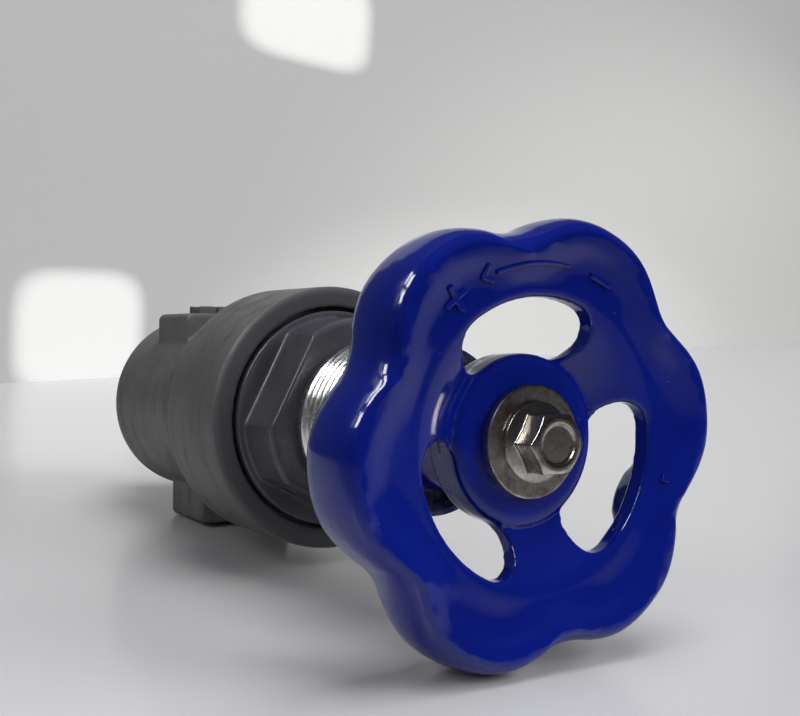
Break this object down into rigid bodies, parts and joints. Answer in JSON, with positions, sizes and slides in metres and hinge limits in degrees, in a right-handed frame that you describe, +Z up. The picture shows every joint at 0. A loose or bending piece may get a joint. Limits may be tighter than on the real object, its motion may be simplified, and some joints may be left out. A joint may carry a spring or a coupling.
{
  "type": "angle globe valve",
  "caption": "Angle globe valve with butt-weld ends, screwed bonnet, threaded neck and a lobed blue handwheel on a stem that turns and rises.",
  "frame": {"origin": "centre of the inlet weld face, on the stem axis", "axes": "stem along -Y towards the handwheel, inlet opening towards +Y, outlet along +X, +Z up with the valve lying on its side as in the picture"},
  "size_m": [0.1037, 0.2129, 0.0944],
  "materials": {
    "body_paint": "satin grey paint over cast steel",
    "bonnet_paint": "semi-gloss dark grey paint over steel",
    "wheel_enamel": "gloss deep blue enamel",
    "neck_steel": "turned bright stainless steel",
    "gland_steel": "polished stainless steel",
    "stem_steel": "ground stainless steel",
    "bolt_nickel": "bright nickel plate",
    "washer_nickel": "nickel plate with handling marks",
    "seat_steel": "lapped stainless steel",
    "bush_bronze": "machined bronze",
    "seal_plastic": "white fluoroplastic",
    "gasket_grey": "graphite gasket",
    "wiper_rubber": "black rubber"
  },
  "bodies": {
    "valve": {"valve_body": "body_paint", "seat_ring": "seat_steel", "bonnet_gasket": "gasket_grey", "bonnet": "bonnet_paint", "stem_bush": "bush_bronze", "back_seat_ring": "seal_plastic", "neck_gasket": "gasket_grey", "neck_sleeve": "neck_steel", "packing_base_ring": "seat_steel", "packing_rings": "seal_plastic", "packing_follower": "seat_steel", "gland_nut": "gland_steel", "stem_wiper": "wiper_rubber"},
    "disc_group": {"disc": "seat_steel", "disc_seal": "seal_plastic", "seal_retainer": "seat_steel", "disc_nut": "seat_steel", "thrust_pad": "bush_bronze", "disc_cap": "seat_steel"},
    "stem_group": {"stem": "stem_steel", "split_ring": "seat_steel", "handwheel": "wheel_enamel", "handwheel_washer": "washer_nickel", "handwheel_bolt": "bolt_nickel"}
  },
  "joints": [
    {"name": "disc_lift", "type": "slide", "parent": "valve", "child": "disc_group", "axis": [0, -1, 0], "range_m": [0, 0.00801]},
    {"name": "stem_turn", "type": "hinge", "parent": "disc_group", "child": "stem_group", "pos_m": [0, -0.15, 0], "axis": [0, -1, 0], "range_deg": [0, 1440]}
  ],
  "couplings": [
    {"joint": "disc_lift", "follows": "stem_turn", "m_per_rad": 0.00031831}
  ]
}
